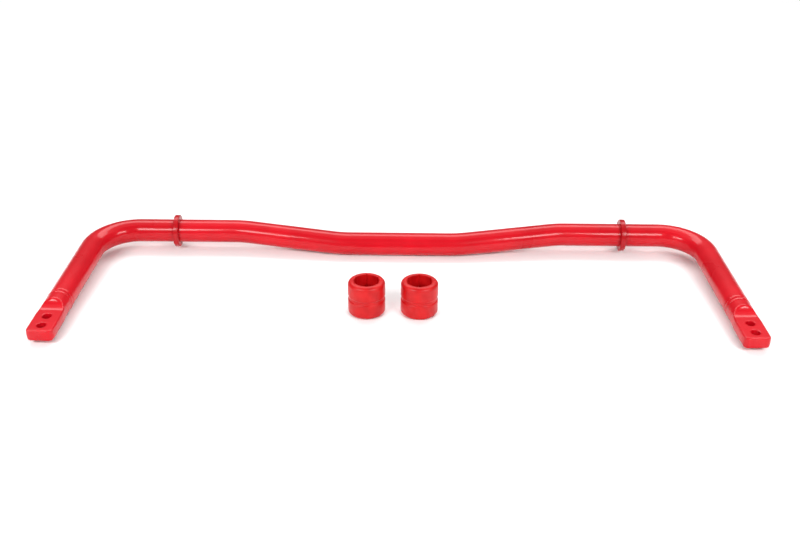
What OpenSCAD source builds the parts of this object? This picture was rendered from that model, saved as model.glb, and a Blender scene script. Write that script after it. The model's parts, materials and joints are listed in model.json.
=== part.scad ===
// Tubular front sway bar with its two loose polyurethane bushings, laid out on a
// flat surface. The bar rests on its centre run and on the shanks of its two arm
// ends, and the bushings stand on end between the arms.
// X runs along the bar, +Y points from the arm ends back to the bar, +Z is up.
// The origin is on the surface, in the middle of the whole outline.

/* [Tube] */
// Outside diameter of the tube
tube_od = 35; // [33:0.5:36]
// Wall thickness of the tube
tube_wall = 4.5; // [3.5:0.5:5.5]
// Distance from the middle of the bar to the arm's axis, at the corner
corner_x = 462.5; // [430:0.5:480]
// Centreline radius of the corner bend
corner_r = 63.5; // [55:0.5:80]
// Angle by which each arm opens outwards
arm_splay = 2; // [0:0.5:4]
// Distance from the shoulder axis to the outer stud hole, along the arm
eye_reach = 284; // [275:1:290]

/* [Centre run] */
// Distance from the middle to the bend where the centre run ends
joggle_in_x = 90; // [80:1:110]
// Distance from the middle to the bend where the shoulder starts
joggle_out_x = 245; // [230:1:260]
// How far the centre run lies in front of the shoulders
centre_forward = 19; // [10:1:25]
// How far the centre run lies below the shoulders
centre_drop = 10; // [6:1:14]
// Centreline radius of the joggle bends
joggle_r = 180; // [120:5:250]

/* [Arm ends] */
// Distance from the shoulder axis to the joint between tube and end, along the arm
joint_reach = 212; // [195:1:216]
// Largest width of the forged end, across its flat
eye_od = 38; // [37:0.5:42]
// Thickness of the flat of the end
eye_t = 16; // [14:0.5:20]
// Hole for the drop link's stud
eye_bore = 12.5; // [10:0.5:13]
// Distance from the outer stud hole back to the inner one
eye_step = 22; // [20:0.5:24]
// Distance from the outer stud hole to the front of the nose
nose_run = 14.5; // [12:0.5:16]
// Radius of the nose's corners
nose_r = 8; // [5:0.5:10]
// Radius of the scoop that runs the round shank out into the flat
scoop_r = 20; // [14:1:24]
// Distance from the outer stud hole back to where the flat begins
flat_run = 36; // [34:1:38]
// Distance from the outer stud hole back to where the shank starts to widen
flare_run = 48; // [46:1:50]
// Length over which the shank widens
flare_len = 18; // [12:1:24]
// Length of the spigot inside the tube
spigot_len = 28; // [20:1:35]
// Width of the weld groove at the surface
weld_w = 7; // [5:0.5:9]
// Height of the weld's crown above the tube
weld_crown = 0.4; // [0.2:0.1:1]

/* [Locating rings] */
// Distance from the middle of the bar to the ring's centre
ring_x = 346; // [330:1:360]
// Outside diameter of the ring
ring_od = 49; // [44:0.5:52]
// Width of the ring along the bar
ring_w = 8; // [6:0.5:12]
// Chamfer on the ring's edges
ring_chamfer = 1; // [0.5:0.1:2]

/* [Bushings] */
// Outside diameter of a bushing
bush_od = 52; // [50:0.5:56]
// Height of a bushing
bush_h = 50; // [44:0.5:54]
// Bore of a bushing, which grips the tube
bush_bore = 35; // [34.5:0.5:36]
// Radius of the rounded outer edges
bush_round = 6; // [3:0.5:7]
// Width of the groove round the middle
bush_groove_w = 5; // [3:0.5:8]
// Depth of the groove round the middle
bush_groove_d = 1.2; // [0.6:0.1:2]
// Number of grease channels along the bore
grease_count = 6; // [4:1:8]
// Radius of a grease channel
grease_r = 1.3; // [0.8:0.1:1.6]
// Width of the split that lets the bushing open over the tube
split_w = 0.4; // [0.3:0.1:1.5]
// Place of the left bushing along the bar
left_bush_x = -45; // [-70:0.5:-35]
// Place of the right bushing along the bar
right_bush_x = 28.5; // [20:0.5:60]
// Distance from the shoulder axis to the bushings
bush_forward = 199; // [180:1:215]

/* [Hidden] */
$fn = 96;
steel_red = [0.80, 0.05, 0.08];
bushing_red = [0.86, 0.10, 0.08];
tube_r = tube_od / 2;
tube_bore = tube_od - 2 * tube_wall;
eye_r = eye_od / 2;

// The shoulder's height puts the centre run on the surface.
shoulder_z = tube_r + centre_drop;

// The arm's pitch puts the underside of the shank on the surface, where the scoop
// starts: the last place down the arm where it is as thick as the tube.
scoop_drop = scoop_r + eye_t / 2 - tube_r;
rest_reach = eye_reach - flat_run - sqrt(scoop_r * scoop_r - scoop_drop * scoop_drop);
rest_swing = sqrt(rest_reach * rest_reach + tube_r * tube_r);
arm_pitch = asin(shoulder_z / rest_swing) - atan2(tube_r, rest_reach);

// The outline runs from the top edges of the noses to the backs of the rings.
plane_pitch = atan2(tan(arm_pitch), cos(arm_splay));
nose_mid = eye_reach + nose_run - nose_r;
nose_side = eye_r - nose_r;
nose_in_plane = nose_mid * cos(arm_splay) + nose_side * sin(arm_splay) + nose_r;
nose_forward = nose_in_plane * cos(plane_pitch) + eye_t / 2 * sin(plane_pitch);
shoulder_y = (nose_forward - ring_od / 2) / 2;

// The corner bend lies in the plane that holds the shoulder and the arm.
corner_turn = 90 - arm_splay;
corner_run = corner_r * tan(corner_turn / 2);

// The joggle lies in a plane of its own, turned about the shoulder's axis.
joggle_offset = sqrt(centre_forward * centre_forward + centre_drop * centre_drop);
joggle_roll = atan2(centre_drop, centre_forward);
joggle_len = joggle_out_x - joggle_in_x;
joggle_turn = atan2(joggle_offset, joggle_len);
joggle_run = joggle_r * tan(joggle_turn / 2);
joggle_slope_len = sqrt(joggle_offset * joggle_offset + joggle_len * joggle_len);

// Sizes inside the joint
spigot_d = tube_bore - 0.1;
weld_depth = tube_wall - 1.5;
lead = 1.5;

// How much wider the trimming tool is than the head, so that its arcs cross the sides
nose_clear = 0.1;

// How far cutters run past a face, and straights run over the ends of bends
over = 1;
lap = 0.5;
bend_thinning = 0.02;

// A straight length of tube along +X from the origin. It runs on by lap_0 at its
// start and lap_1 at its end, to take in the ends of the bends that meet it.
module straight(length, lap_0, lap_1) {
    translate([-lap_0, 0, 0])
        rotate([0, 90, 0])
            difference() {
                cylinder(d = tube_od, h = length + lap_0 + lap_1);
                translate([0, 0, -over])
                    cylinder(d = tube_bore, h = length + lap_0 + lap_1 + 2 * over);
            }
}

// A bent length of tube that starts at the origin along +X and turns towards -Y.
// Its wall is a touch thinner, as a bent tube's is, and so nests in the straights.
module bend(radius, angle) {
    translate([0, -radius, 0])
        rotate([0, 0, 90 - angle])
            rotate_extrude(angle = angle)
                translate([radius, 0])
                    difference() {
                        circle(d = tube_od - 2 * bend_thinning);
                        circle(d = tube_bore + 2 * bend_thinning);
                    }
}

// Puts its children on the shoulders' axis, in the middle of the bar.
module on_shoulder() {
    translate([0, shoulder_y, shoulder_z])
        children();
}

// Turns its children into the plane of the shoulder and the arm.
module in_arm_plane() {
    rotate([plane_pitch, 0, 0])
        children();
}

// Puts its children on the right arm's axis: +X runs down the arm from the corner.
module on_arm() {
    on_shoulder()
        in_arm_plane()
            translate([corner_x, 0, 0])
                rotate([0, 0, -corner_turn])
                    children();
}

// The joggle from the centre run up to the shoulder, in its own plane.
module joggle() {
    translate([joggle_in_x - joggle_run, -joggle_offset, 0])
        mirror([0, 1, 0])
            bend(joggle_r, joggle_turn);
    translate([joggle_in_x, -joggle_offset, 0])
        rotate([0, 0, joggle_turn])
            translate([joggle_run, 0, 0])
                straight(joggle_slope_len - 2 * joggle_run, lap, lap);
    translate([joggle_out_x, 0, 0])
        rotate([0, 0, joggle_turn])
            translate([-joggle_run, 0, 0])
                bend(joggle_r, joggle_turn);
}

// Right side of the tube: joggle, shoulder, corner and arm.
module tube_side() {
    on_shoulder() {
        rotate([joggle_roll, 0, 0])
            joggle();
        translate([joggle_out_x + joggle_run, 0, 0])
            straight(corner_x - corner_run - joggle_out_x - joggle_run, lap, lap);
        in_arm_plane()
            translate([corner_x - corner_run, 0, 0])
                bend(corner_r, corner_turn);
    }
    on_arm()
        difference() {
            translate([corner_run, 0, 0])
                straight(joint_reach - corner_run, lap, 0);
            translate([joint_reach, 0, 0])
                weld_body();
        }
}

module bar_tube() {
    color(steel_red)
        union() {
            translate([joggle_run - joggle_in_x, shoulder_y - centre_forward, tube_r])
                straight(2 * (joggle_in_x - joggle_run), lap, lap);
            tube_side();
            mirror([1, 0, 0])
                tube_side();
        }
}

// The weld's metal: it fills the V between the bevelled tube and end, with a crown.
module weld_body() {
    rotate([0, 90, 0])
        rotate_extrude()
            polygon([[tube_r - weld_depth, -0.5],
                     [tube_r - weld_depth, 0.5],
                     [tube_r, weld_w / 2],
                     [tube_r + weld_crown, weld_w / 4],
                     [tube_r + weld_crown, -weld_w / 4],
                     [tube_r, -weld_w / 2]]);
}

// Turned blank of the end along +X from the joint: spigot, shank, flare and head.
module end_blank() {
    shank = eye_reach - flare_run - joint_reach;
    total = eye_reach + nose_run + nose_r - joint_reach;
    rotate([0, 90, 0])
        rotate_extrude()
            polygon([[0, -spigot_len],
                     [spigot_d / 2 - lead, -spigot_len],
                     [spigot_d / 2, -spigot_len + lead],
                     [spigot_d / 2, 0],
                     [tube_r - weld_depth, 0],
                     [tube_r - weld_depth, 0.5],
                     [tube_r, weld_w / 2],
                     [tube_r, shank],
                     [eye_r, shank + flare_len],
                     [eye_r, total],
                     [0, total]]);
}

// One scoop: it cuts the blank down to the flat, above the arm's axis.
module scoop() {
    flat_start = eye_reach - flat_run - joint_reach;
    translate([flat_start, 0, eye_t / 2 + scoop_r])
        rotate([90, 0, 0])
            cylinder(r = scoop_r, h = 2 * eye_od, center = true);
    translate([flat_start, -eye_od, eye_t / 2])
        cube([2 * eye_od, 2 * eye_od, eye_od]);
}

// Outline in plan of what is trimmed off the head: its corners are left round.
module nose_trim() {
    nose_front = eye_reach + nose_run - joint_reach;
    corner_side = nose_side + nose_clear;
    difference() {
        translate([nose_front - nose_r, -eye_od])
            square([2 * eye_od, 2 * eye_od]);
        translate([nose_front - 2 * nose_r, -corner_side])
            square([2 * nose_r, 2 * corner_side]);
        for (side = [-corner_side, corner_side])
            translate([nose_front - nose_r, side])
                circle(r = nose_r);
    }
}

// The forged end in the arm's own frame, from the joint.
module end_body() {
    eye_at = eye_reach - joint_reach;
    difference() {
        end_blank();
        scoop();
        mirror([0, 0, 1])
            scoop();
        translate([0, 0, -eye_od])
            linear_extrude(height = 2 * eye_od)
                nose_trim();
        for (hole_at = [eye_at - eye_step, eye_at])
            translate([hole_at, 0, -eye_od])
                cylinder(d = eye_bore, h = 2 * eye_od);
    }
}

module right_arm_end() {
    color(steel_red)
        on_arm()
            translate([joint_reach, 0, 0])
                end_body();
}

module left_arm_end() {
    mirror([1, 0, 0])
        right_arm_end();
}

module right_end_weld() {
    color(steel_red)
        on_arm()
            translate([joint_reach, 0, 0])
                weld_body();
}

module left_end_weld() {
    mirror([1, 0, 0])
        right_end_weld();
}

// Steel ring with chamfered edges, fixed round the shoulder.
module right_locating_ring() {
    half_w = ring_w / 2;
    ring_r = ring_od / 2;
    color(steel_red)
        on_shoulder()
            translate([ring_x, 0, 0])
                rotate([0, 90, 0])
                    rotate_extrude()
                        polygon([[tube_r, -half_w],
                                 [ring_r - ring_chamfer, -half_w],
                                 [ring_r, -half_w + ring_chamfer],
                                 [ring_r, half_w - ring_chamfer],
                                 [ring_r - ring_chamfer, half_w],
                                 [tube_r, half_w]]);
}

module left_locating_ring() {
    mirror([1, 0, 0])
        right_locating_ring();
}

// Half of the bushing's wall in section, with its outer corners rounded.
module bush_section() {
    bush_r = bush_od / 2;
    difference() {
        union() {
            square([bush_r - bush_round, bush_h]);
            translate([0, bush_round])
                square([bush_r, bush_h - 2 * bush_round]);
            for (z = [bush_round, bush_h - bush_round])
                translate([bush_r - bush_round, z])
                    circle(r = bush_round);
        }
        translate([-over, -over])
            square([bush_bore / 2 + over, bush_h + 2 * over]);
        translate([bush_r - bush_groove_d, (bush_h - bush_groove_w) / 2])
            square([bush_groove_d + over, bush_groove_w]);
    }
}

// A bushing stands on end, with its split on the right between two grease channels.
module bushing() {
    color(bushing_red)
        difference() {
            rotate_extrude()
                bush_section();
            for (i = [0 : grease_count - 1])
                rotate([0, 0, (i + 0.5) * 360 / grease_count])
                    translate([bush_bore / 2, 0, -over])
                        cylinder(r = grease_r, h = bush_h + 2 * over, $fn = 32);
            translate([0, -split_w / 2, -over])
                cube([bush_od, split_w, bush_h + 2 * over]);
        }
}

module left_bushing() {
    translate([left_bush_x, shoulder_y - bush_forward, 0])
        bushing();
}

module right_bushing() {
    translate([right_bush_x, shoulder_y - bush_forward, 0])
        bushing();
}

bar_tube();
left_arm_end();
right_arm_end();
left_end_weld();
right_end_weld();
left_locating_ring();
right_locating_ring();
left_bushing();
right_bushing();
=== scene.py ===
import json
import math
from itertools import product

import bpy
import numpy as np
from mathutils import Matrix, Vector


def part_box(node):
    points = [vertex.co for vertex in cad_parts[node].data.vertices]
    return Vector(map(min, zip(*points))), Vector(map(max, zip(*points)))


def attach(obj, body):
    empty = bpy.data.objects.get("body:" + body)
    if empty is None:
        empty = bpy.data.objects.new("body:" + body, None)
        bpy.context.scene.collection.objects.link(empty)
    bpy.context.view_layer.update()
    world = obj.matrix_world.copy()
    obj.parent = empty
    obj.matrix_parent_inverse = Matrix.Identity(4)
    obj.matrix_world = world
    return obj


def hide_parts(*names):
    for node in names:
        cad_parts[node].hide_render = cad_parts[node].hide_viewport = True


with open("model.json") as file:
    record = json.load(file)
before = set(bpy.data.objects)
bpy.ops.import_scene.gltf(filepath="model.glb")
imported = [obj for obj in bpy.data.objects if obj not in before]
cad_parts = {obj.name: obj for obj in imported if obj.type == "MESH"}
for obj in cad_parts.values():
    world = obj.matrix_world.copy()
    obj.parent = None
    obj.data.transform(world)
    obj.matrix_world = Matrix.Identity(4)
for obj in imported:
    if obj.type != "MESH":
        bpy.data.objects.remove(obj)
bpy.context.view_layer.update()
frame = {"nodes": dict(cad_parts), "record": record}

mounts = {mount["name"]: mount for mount in frame["record"]["mounts"]}

# ---- The bar ------------------------------------------------------------------
# A sway bar is a torsion spring bent cold from one length of spring-steel tube,
# with two corner bends for its arms and a shallow joggle each side of its centre
# run. It is shot-blasted and powder coated in gloss red after all the welding.

tube_r = mounts["right_bearing_run"]["dims"]["r_mm"] / 1000
tube_wall = 0.0045
tube_sides = 96
bend_step = 0.004
corner_r = 0.0635
joggle_r = 0.180
joggle_in = 0.090
joggle_out = 0.245
groove_run = 0.0035
groove_depth = 0.003
groove_root = 0.0005

ring_low, ring_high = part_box("right_locating_ring")
shoulder = (ring_low + ring_high) / 2
weld_low, weld_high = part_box("right_end_weld")
joint = (weld_low + weld_high) / 2
eye = Vector(mounts["right_eye"]["pos_m"])
arm_way = (eye - joint).normalized()
corner = joint + arm_way * ((shoulder.y - joint.y) / arm_way.y)

tube_points = np.array([v.co for v in frame["nodes"]["bar_tube"].data.vertices])
off_middle = np.abs(tube_points[:, 0])
slice_w = 0.001
run_ends = tube_points[off_middle < off_middle.min() + slice_w]
centre_y, centre_z = (run_ends.min(axis=0) + run_ends.max(axis=0))[1:] / 2


def mirrored(point):
    return Vector((-point.x, point.y, point.z))


def bent_line(corners, radii, step):
    """The line of a bent tube: its corners rounded to true arcs, and a point at every step."""
    fewest_steps = 4
    line = [corners[0]]
    for before, at, after, radius in zip(corners, corners[1:], corners[2:], radii):
        way_in, way_out = (before - at).normalized(), (after - at).normalized()
        half = way_in.angle(way_out) / 2
        centre = at + (way_in + way_out).normalized() * radius / math.sin(half)
        start = at + way_in * radius / math.tan(half) - centre
        end = at + way_out * radius / math.tan(half) - centre
        turn = start.angle(end)
        count = max(fewest_steps, round(turn * radius / step))
        for i in range(count + 1):
            share = turn * i / count
            spoke = start * math.sin(turn - share) + end * math.sin(share)
            line.append(centre + spoke / math.sin(turn))
    line.append(corners[-1])
    even = [line[0]]
    for here, there in zip(line, line[1:]):
        count = max(1, round((there - here).length / step))
        even += [here.lerp(there, (i + 1) / count) for i in range(count)]
    return even


def frames_along(line):
    """A pair of square axes at each point, carried along the line without twist."""
    ways = [(b - a).normalized() for a, b in zip(line, line[1:])]
    ways = [ways[0]] + [(a + b).normalized() for a, b in zip(ways, ways[1:])] + [ways[-1]]
    side = ways[0].orthogonal().normalized()
    frames = []
    for way in ways:
        side = (side - way * side.dot(way)).normalized()
        frames.append((side, way.cross(side)))
    return frames


def mesh_piece(name, points, faces, body, node, finish, slot):
    """A smooth-shaded piece that rides on its body and stands for its CAD node."""
    mesh = bpy.data.meshes.new(name)
    mesh.from_pydata([tuple(p) for p in points], [], [tuple(map(int, f)) for f in faces])
    mesh.validate()
    mesh.shade_smooth()
    mesh.materials.append(finish)
    piece = bpy.data.objects.new(name, mesh)
    bpy.context.scene.collection.objects.link(piece)
    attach(piece, body)
    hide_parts(node)


def closed_bands(loops, sides):
    """Faces between each loop of points and the next, and from the last to the first."""
    faces = []
    for loop in range(loops):
        here, there = loop * sides, (loop + 1) % loops * sides
        faces += [
            (here + i, here + (i + 1) % sides, there + (i + 1) % sides, there + i)
            for i in range(sides)
        ]
    return faces


def tube_skin(line, sides):
    """The tube's outside and bore, with its ends bevelled for the welds."""
    axes = frames_along(line)
    groove_r = tube_r - groove_depth
    bevel_clear = groove_run * 1.5
    first, last = line[0], line[-1]
    way_in, way_out = (line[1] - first).normalized(), (line[-2] - last).normalized()
    outer = [(first + way_in * groove_root, groove_r, axes[0])]
    outer.append((first + way_in * groove_run, tube_r, axes[0]))
    outer += [
        (point, tube_r, pair)
        for point, pair in zip(line, axes)
        if min((point - first).length, (point - last).length) > bevel_clear
    ]
    outer.append((last + way_out * groove_run, tube_r, axes[-1]))
    outer.append((last + way_out * groove_root, groove_r, axes[-1]))
    inner = [(point, tube_r - tube_wall, pair) for point, _, pair in reversed(outer)]
    turns = [2 * math.pi * i / sides for i in range(sides)]
    points = [
        centre + (pair[0] * math.cos(turn) + pair[1] * math.sin(turn)) * radius
        for centre, radius, pair in outer + inner
        for turn in turns
    ]
    return points, closed_bands(len(outer) * 2, sides)


def new_finish(name, base, roughness, specular):
    """A material with its main shader, and the object's own place as texture place."""
    finish = bpy.data.materials.new(name)
    finish.use_nodes = True
    nodes = finish.node_tree.nodes
    shader = nodes["Principled BSDF"]
    shader.inputs["Base Color"].default_value = (*base, 1)
    shader.inputs["Roughness"].default_value = roughness
    shader.inputs["Specular IOR Level"].default_value = specular
    place = nodes.new("ShaderNodeTexCoord")
    return finish, shader, place.outputs["Object"]


def speckle(finish, place, scale, detail):
    """Soft noise over the piece, between 0 and 1."""
    node = finish.node_tree.nodes.new("ShaderNodeTexNoise")
    node.inputs["Scale"].default_value = scale
    node.inputs["Detail"].default_value = detail
    finish.node_tree.links.new(place, node.inputs["Vector"])
    return node.outputs["Fac"]


def spread(finish, value, low, high, to_low, to_high):
    """A value from one range stretched to another, without going past its ends."""
    node = finish.node_tree.nodes.new("ShaderNodeMapRange")
    finish.node_tree.links.new(value, node.inputs["Value"])
    node.inputs["From Min"].default_value = low
    node.inputs["From Max"].default_value = high
    node.inputs["To Min"].default_value = to_low
    node.inputs["To Max"].default_value = to_high
    return node.outputs["Result"]


def between(finish, share, colour_a, colour_b):
    """A colour between two, by share."""
    node = finish.node_tree.nodes.new("ShaderNodeMix")
    node.data_type = "RGBA"
    finish.node_tree.links.new(share, node.inputs["Factor"])
    node.inputs["A"].default_value = (*colour_a, 1)
    node.inputs["B"].default_value = (*colour_b, 1)
    return node.outputs["Result"]


def rough_up(finish, shader, layers):
    """Stacks bumps: each layer is a height and how far it stands out, in metres."""
    normal = None
    for height, distance in layers:
        node = finish.node_tree.nodes.new("ShaderNodeBump")
        node.inputs["Distance"].default_value = distance
        finish.node_tree.links.new(height, node.inputs["Height"])
        if normal:
            finish.node_tree.links.new(normal, node.inputs["Normal"])
        normal = node.outputs["Normal"]
    finish.node_tree.links.new(normal, shader.inputs["Normal"])


def powder_coat(name, deep, bright, dullness):
    """Gloss red powder coat: orange peel, slow waves in the film, and faint smears of handling."""
    wave_height = 0.00004
    peel_height = 0.00001
    finish, shader, place = new_finish(name, deep, roughness=0.3, specular=0.1)
    film = speckle(finish, place, scale=14, detail=3)
    waves = speckle(finish, place, scale=70, detail=2)
    peel = speckle(finish, place, scale=520, detail=2)
    smears = speckle(finish, place, scale=38, detail=6)
    patches = spread(finish, film, low=0.35, high=0.65, to_low=0, to_high=1)
    colour = between(finish, patches, deep, bright)
    haze = spread(finish, film, low=0.3, high=0.7, to_low=0.26 + dullness, to_high=0.36 + dullness)
    handling = spread(finish, smears, low=0.45, high=0.7, to_low=0.05 + dullness, to_high=0.13 + dullness)
    links = finish.node_tree.links
    links.new(colour, shader.inputs["Base Color"])
    links.new(haze, shader.inputs["Roughness"])
    links.new(handling, shader.inputs["Coat Roughness"])
    shader.inputs["Coat Weight"].default_value = 0.4
    rough_up(finish, shader, [(waves, wave_height), (peel, peel_height)])
    return finish


bar_red = powder_coat("bar_red", (0.47, 0.003, 0.009), (0.57, 0.004, 0.012), 0)
half_bar = [
    Vector((joggle_in, centre_y, centre_z)),
    Vector((joggle_out, shoulder.y, shoulder.z)),
    corner,
    joint,
]
bends = [mirrored(point) for point in reversed(half_bar)] + half_bar
bend_radii = [corner_r, joggle_r, joggle_r, joggle_r, joggle_r, corner_r]
bar_line = bent_line(bends, bend_radii, bend_step)
mesh_piece("bar", *tube_skin(bar_line, tube_sides), "bar", "bar_tube", bar_red, "bar_coat")

# ---- The forged ends ----------------------------------------------------------
# Each end is a solid steel forging. A spigot on it plugs into the tube; the shank
# widens past the weld and is scooped above and below down to a flat, whose nose is
# trimmed square and drilled twice for the drop link's stud.

head_r = 0.019
nose_run = 0.0145
nose_r = 0.008
flat_run = 0.036
flare_run = 0.048
flare_len = 0.018
scoop_r = 0.020
flat_t = mounts["right_eye"]["dims"]["length_mm"] / 1000
stud_hole_r = mounts["right_eye"]["dims"]["r_mm"] / 1000
hole_step = (eye - Vector(mounts["right_inner_eye"]["pos_m"])).length
spigot_play = 0.00005
spigot_r = tube_r - tube_wall - spigot_play
spigot_len = 0.028
spigot_lead = 0.0015
edge_soft = 0.002
hole_soft = 0.001
skin_cell = 0.0007
skin_margin = 0.002
end_reach = 0.021
end_len = (eye - joint).length
nose_front = end_len + nose_run

end_profile = [
    (-spigot_len, 0),
    (-spigot_len, spigot_r - spigot_lead),
    (-spigot_len + spigot_lead, spigot_r),
    (0, spigot_r),
    (0, tube_r - groove_depth),
    (groove_root, tube_r - groove_depth),
    (groove_run, tube_r),
    (end_len - flare_run, tube_r),
    (end_len - flare_run + flare_len, head_r),
    (nose_front + nose_r, head_r),
    (nose_front + nose_r, 0),
]


def both(a, b, soft):
    """The overlap of two shapes, with the edge between them rounded off."""
    reach = np.maximum(soft - np.abs(a - b), 0) / soft
    return np.maximum(a, b) + reach * reach * soft / 4


def outside_profile(x, y, profile):
    """Distance from points to a closed outline in a plane, below zero inside it."""
    nearest = np.full(x.shape, np.inf)
    inside = np.zeros(x.shape, bool)
    for (ax, ay), (bx, by) in zip(profile, profile[1:] + profile[:1]):
        ex, ey = bx - ax, by - ay
        share = np.clip(((x - ax) * ex + (y - ay) * ey) / (ex * ex + ey * ey), 0, 1)
        nearest = np.minimum(nearest, np.hypot(x - ax - share * ex, y - ay - share * ey))
        if ay != by:
            inside ^= ((ay > y) != (by > y)) & (x < ax + (y - ay) * ex / ey)
    return np.where(inside, -nearest, nearest)


def end_shape(points):
    """Distance to the end's surface, with x down the arm from the joint and z square to the flat."""
    x, y, z = points[..., 0], np.abs(points[..., 1]), np.abs(points[..., 2])
    blank = outside_profile(x, np.hypot(y, z), end_profile)
    flat_start = end_len - flat_run
    scoop = scoop_r - np.hypot(x - flat_start, z - flat_t / 2 - scoop_r)
    ledge = np.minimum(x - flat_start, z - flat_t / 2)
    shape = both(blank, np.maximum(scoop, ledge), edge_soft)
    past, beside = x - nose_front + nose_r, y - head_r + nose_r
    nose = np.hypot(np.maximum(past, 0), np.maximum(beside, 0)) + np.minimum(past, 0) / 2 - nose_r
    shape = both(shape, nose, edge_soft)
    for hole in (end_len - hole_step, end_len):
        shape = both(shape, stud_hole_r - np.hypot(x - hole, y), hole_soft)
    return shape


def settled(points, shape, passes):
    """Points moved square to a shape until they lie on its surface."""
    small = 1e-5
    least_steep = 0.2
    for _ in range(passes):
        value = shape(points)
        rises = [shape(points + small * way) - shape(points - small * way) for way in np.eye(3)]
        slope = np.stack(rises, -1) / (2 * small)
        steep = np.maximum((slope * slope).sum(-1, keepdims=True), least_steep)
        points = points - value[:, None] * slope / steep
    return points


def skin_over(shape, low, high, cell):
    """A mesh of even four-sided faces over a shape given by its distances."""
    cell_corners = 8
    evening_rounds = 4
    axes = [np.arange(a, b + cell, cell) for a, b in zip(low, high)]
    grid = np.stack(np.meshgrid(*axes, indexing="ij"), -1)
    inside = shape(grid) < 0
    size = np.array(inside.shape) - 1
    count = np.zeros(size, int)
    for i, j, k in product((0, 1), repeat=3):
        count += inside[i:size[0] + i, j:size[1] + j, k:size[2] + k]
    mixed = (count > 0) & (count < cell_corners)
    number = np.full(mixed.shape, -1)
    number[mixed] = np.arange(mixed.sum())
    points = np.argwhere(mixed) * cell + np.array(low) + cell / 2
    faces = []
    for along in range(3):
        ahead = np.take(inside, range(1, size[along] + 1), along)
        behind = np.take(inside, range(size[along]), along)
        starts = np.argwhere(ahead != behind)
        u, v = np.eye(3, dtype=int)[(along + 1) % 3], np.eye(3, dtype=int)[(along + 2) % 3]
        around = [number[tuple((starts - shift).T)] for shift in (0 * u, u, u + v, v)]
        quads = np.stack(around, -1)
        flip = ahead[tuple(starts.T)]
        quads[~flip] = quads[~flip][:, ::-1]
        faces.append(quads)
    faces = np.concatenate(faces)
    points = settled(points, shape, passes=3)
    links = np.concatenate([faces[:, [i, (i + 1) % 4]] for i in range(4)])
    for _ in range(evening_rounds):
        total, shares = np.zeros_like(points), np.zeros(len(points))
        for a, b in ((0, 1), (1, 0)):
            np.add.at(total, links[:, a], points[links[:, b]])
            np.add.at(shares, links[:, a], 1)
        points = settled((points + total / shares[:, None]) / 2, shape, passes=2)
    return points, faces


end_points, end_faces = skin_over(
    end_shape,
    (-spigot_len - skin_margin, -end_reach, -end_reach),
    (nose_front + skin_margin, end_reach, end_reach),
    skin_cell,
)
flat_way = Vector(mounts["right_eye"]["axis"])
across = flat_way.cross(arm_way)
end_place = np.array([arm_way, across, flat_way])
right_end = end_points @ end_place + np.array(joint)
for side, points, faces in (
    ("right", right_end, end_faces),
    ("left", right_end * (-1, 1, 1), end_faces[:, ::-1]),
):
    mesh_piece(side + "_end", points, faces, "bar", side + "_arm_end", bar_red, "bar_coat")

# ---- The end welds ------------------------------------------------------------
# A full weld joins each end to the tube, run in a V between the two bevels. The
# bead is laid on a turntable, so its ripples are even, and the coating softens them.

bead_crown = 0.0004
bead_ripple = 0.00012
bead_stations = 11
ripple_count = 66
ripple_lag = 1.3
sides_per_ripple = 6
bead_sides = ripple_count * sides_per_ripple


def bead_points():
    """Loops of the bead's section, turned about the arm's axis with its ripples."""
    turns = [2 * math.pi * i / bead_sides for i in range(bead_sides)]
    loops = [(groove_root, tube_r - groove_depth, 0), (-groove_root, tube_r - groove_depth, 0)]
    for share in np.linspace(-1, 1, bead_stations):
        rise = 1 - share * share
        loops.append((share * groove_run, tube_r + bead_crown * rise, rise))
    for along, radius, free in loops:
        lag = ripple_lag * (along / groove_run) ** 2
        for turn in turns:
            dip = bead_ripple * free * (0.5 - 0.5 * math.cos(ripple_count * turn + lag))
            out = across * math.cos(turn) + flat_way * math.sin(turn)
            yield joint + arm_way * along + out * (radius - dip)


bead = np.array([tuple(point) for point in bead_points()])
bead_faces = np.array(closed_bands(len(bead) // bead_sides, bead_sides))
for side, points, faces in (
    ("right", bead, bead_faces),
    ("left", bead * (-1, 1, 1), bead_faces[:, ::-1]),
):
    mesh_piece(side + "_weld", points, faces, "bar", side + "_end_weld", bar_red, "bar_coat")

# ---- The locating rings -------------------------------------------------------
# A turned steel ring is fixed round each shoulder before coating, so that the bar
# can't walk sideways in its bushings. The coating runs into the corner at its foot.

ring_half = (ring_high.x - ring_low.x) / 2
ring_r = (ring_high.z - ring_low.z) / 2
ring_chamfer = 0.001
ring_soft = 0.0004
ring_sink = 0.0004
ring_sides = 128
ring_turns = [2 * math.pi * i / ring_sides for i in range(ring_sides)]


def rounded(outline, soft, steps):
    """A closed outline with each corner turned into a short arc."""
    path = []
    for before, at, after in zip(outline[-1:] + outline[:-1], outline, outline[1:] + outline[:1]):
        at, before, after = Vector(at), Vector(before), Vector(after)
        start = at + (before - at).normalized() * soft
        end = at + (after - at).normalized() * soft
        for i in range(steps + 1):
            t = i / steps
            path.append(start * (1 - t) ** 2 + at * 2 * t * (1 - t) + end * t * t)
    return path


ring_red = powder_coat("ring_red", (0.36, 0.002, 0.006), (0.44, 0.003, 0.008), 0.06)
ring_outline = rounded(
    [
        (-ring_half, tube_r - ring_sink),
        (-ring_half, ring_r - ring_chamfer),
        (-ring_half + ring_chamfer, ring_r),
        (ring_half - ring_chamfer, ring_r),
        (ring_half, ring_r - ring_chamfer),
        (ring_half, tube_r - ring_sink),
    ],
    ring_soft,
    steps=4,
)
for side, at in (("right", shoulder), ("left", mirrored(shoulder))):
    points = [
        Vector((at.x + p.x, at.y + p.y * math.cos(turn), at.z + p.y * math.sin(turn)))
        for p in ring_outline
        for turn in ring_turns
    ]
    faces = closed_bands(len(ring_outline), ring_sides)
    mesh_piece(side + "_ring", points, faces, "bar", side + "_locating_ring", ring_red, "ring_coat")

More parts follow.
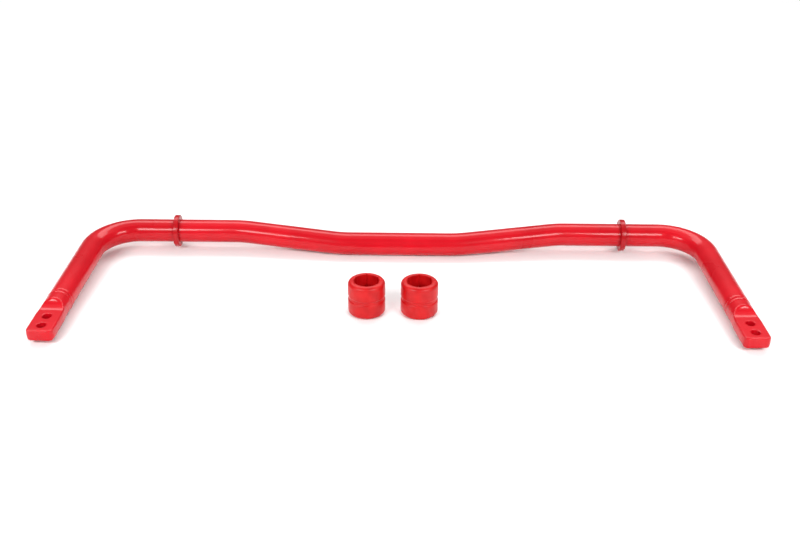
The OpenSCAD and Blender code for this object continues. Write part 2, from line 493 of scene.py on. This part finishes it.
# ---- The bushings -------------------------------------------------------------
# Two bushings are cast in red polyurethane. Each has a groove round its middle for
# the clamp, grease channels down its bore, and a split so that it opens over the bar.

bush_low, bush_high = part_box("left_bushing")
bush_r = (bush_high.x - bush_low.x) / 2
bush_h = bush_high.z - bush_low.z
bush_bore_r = mounts["left_bushing_bore"]["dims"]["r_mm"] / 1000
bush_round = 0.006
bush_groove_w = 0.005
bush_groove_d = 0.0012
groove_soft = 0.0016
bore_soft = 0.0012
grease_count = 6
grease_r = 0.0013
grease_soft = 0.0006
split_w = 0.0004
split_soft = 0.0006


def bush_shape(points):
    """Distance to the bushing's surface, with its bore's axis up z from the surface below."""
    x, y, z = points[..., 0], points[..., 1], points[..., 2] - bush_h / 2
    out = np.hypot(x, y)
    over_r, over_h = out - bush_r + bush_round, np.abs(z) - bush_h / 2 + bush_round
    past_edge = np.hypot(np.maximum(over_r, 0), np.maximum(over_h, 0))
    body = past_edge + np.minimum(np.maximum(over_r, over_h), 0) - bush_round
    groove = np.minimum(out - bush_r + bush_groove_d, bush_groove_w / 2 - np.abs(z))
    shape = both(body, groove, groove_soft)
    shape = both(shape, bush_bore_r - out, bore_soft)
    angle = np.arctan2(y, x)
    sector = 2 * math.pi / grease_count
    off = (np.mod(angle, sector) - sector / 2) * bush_bore_r
    shape = both(shape, grease_r - np.hypot(off, out - bush_bore_r), grease_soft)
    unsplit = -1.0
    split = np.where(x > 0, split_w / 2 - np.abs(y), unsplit)
    return both(shape, split, split_soft)


def cast_polyurethane(name, dark, light):
    """Satin cast polyurethane: cloudy colour, a little light inside it, and the mould's fine texture."""
    cloud_height = 0.00012
    texture_height = 0.00003
    finish, shader, place = new_finish(name, dark, roughness=0.4, specular=0.3)
    cloud = speckle(finish, place, scale=60, detail=4)
    texture = speckle(finish, place, scale=420, detail=3)
    patches = spread(finish, cloud, low=0.35, high=0.65, to_low=0, to_high=1)
    colour = between(finish, patches, dark, light)
    haze = spread(finish, cloud, low=0.3, high=0.7, to_low=0.28, to_high=0.46)
    links = finish.node_tree.links
    links.new(colour, shader.inputs["Base Color"])
    links.new(haze, shader.inputs["Roughness"])
    shader.inputs["Subsurface Weight"].default_value = 0.12
    shader.inputs["Subsurface Radius"].default_value = (1, 0.15, 0.1)
    shader.inputs["Subsurface Scale"].default_value = 0.002
    rough_up(finish, shader, [(cloud, cloud_height), (texture, texture_height)])
    return finish


bushing_red = cast_polyurethane("bushing_red", (0.44, 0.002, 0.004), (0.55, 0.005, 0.006))
bush_points, bush_faces = skin_over(
    bush_shape,
    (-bush_r - skin_margin, -bush_r - skin_margin, -skin_margin),
    (bush_r + skin_margin, bush_r + skin_margin, bush_h + skin_margin),
    skin_cell,
)
for side in ("left", "right"):
    node = side + "_bushing"
    low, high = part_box(node)
    points = bush_points + np.array(((low.x + high.x) / 2, (low.y + high.y) / 2, low.z))
    mesh_piece(side + "_bush", points, bush_faces, node, node, bushing_red, "bushing_red")

# ---- The studio ---------------------------------------------------------------
# A white floor, one soft panel overhead and one high at the back, and a soft box in
# front on either side, whose reflections give the gloss its long highlights.

floor_mesh = bpy.data.meshes.new("floor")
floor_half = 12
floor_mesh.from_pydata(
    [(x * floor_half, y * floor_half, 0) for x, y in ((-1, -1), (1, -1), (1, 1), (-1, 1))],
    [],
    [(0, 1, 2, 3)],
)
floor_white = new_finish("floor_white", (0.92, 0.92, 0.92), roughness=0.6, specular=0.2)[0]
floor_mesh.materials.append(floor_white)
floor = bpy.data.objects.new("floor", floor_mesh)
bpy.context.scene.collection.objects.link(floor)

world = bpy.data.worlds.new("studio")
world.use_nodes = True
room_light = world.node_tree.nodes["Background"]
room_light.inputs["Color"].default_value = (1, 1, 1, 1)
room_light.inputs["Strength"].default_value = 0.2
bpy.context.scene.world = world
bpy.context.scene.view_settings.view_transform = "Standard"


def panel(name, power, width, depth, at, look_at):
    """A soft rectangular light."""
    data = bpy.data.lights.new(name, "AREA")
    data.shape = "RECTANGLE"
    data.size, data.size_y = width, depth
    data.energy = power
    lamp = bpy.data.objects.new(name, data)
    bpy.context.scene.collection.objects.link(lamp)
    lamp.location = at
    lamp.rotation_euler = (Vector(look_at) - Vector(at)).to_track_quat("-Z", "Y").to_euler()
    lamp.visible_camera = False


panel("overhead", 9, 3.6, 1.4, (0, 0.3, 2.0), (0, 0.2, 0))
panel("back", 112, 5.0, 1.5, (0, 2.1, 2.9), (0, 1.0, 0))
panel("left_box", 22, 1.05, 0.46, (-1.06, -1.1, 0.98), (-0.3, 0.1, 0))
panel("right_box", 22, 1.05, 0.46, (1.06, -1.1, 0.98), (0.3, 0.1, 0))

camera_pitch = math.radians(27.5)
camera_roll = math.radians(-0.596)
camera_distance = 1.627
camera_side = -0.0011
camera_rise = 0.0438
lens_mm = 46.71
sensor_mm = 36
ahead = Vector((0, math.cos(camera_pitch), -math.sin(camera_pitch)))
up = Vector((0, math.sin(camera_pitch), math.cos(camera_pitch)))
right = Vector((1, 0, 0))
aim = Vector((0, shoulder.y, tube_r))
camera_data = bpy.data.cameras.new("camera")
camera_data.lens = lens_mm
camera_data.sensor_width = sensor_mm
camera_data.clip_end = 50
camera = bpy.data.objects.new("camera", camera_data)
bpy.context.scene.collection.objects.link(camera)
tilted_right = right * math.cos(camera_roll) - up * math.sin(camera_roll)
tilted_up = right * math.sin(camera_roll) + up * math.cos(camera_roll)
turned = Matrix((tilted_right, tilted_up, -ahead)).transposed().to_4x4()
camera_at = aim - right * camera_side - up * camera_rise - ahead * camera_distance
camera.matrix_world = Matrix.Translation(camera_at) @ turned
bpy.context.scene.camera = camera
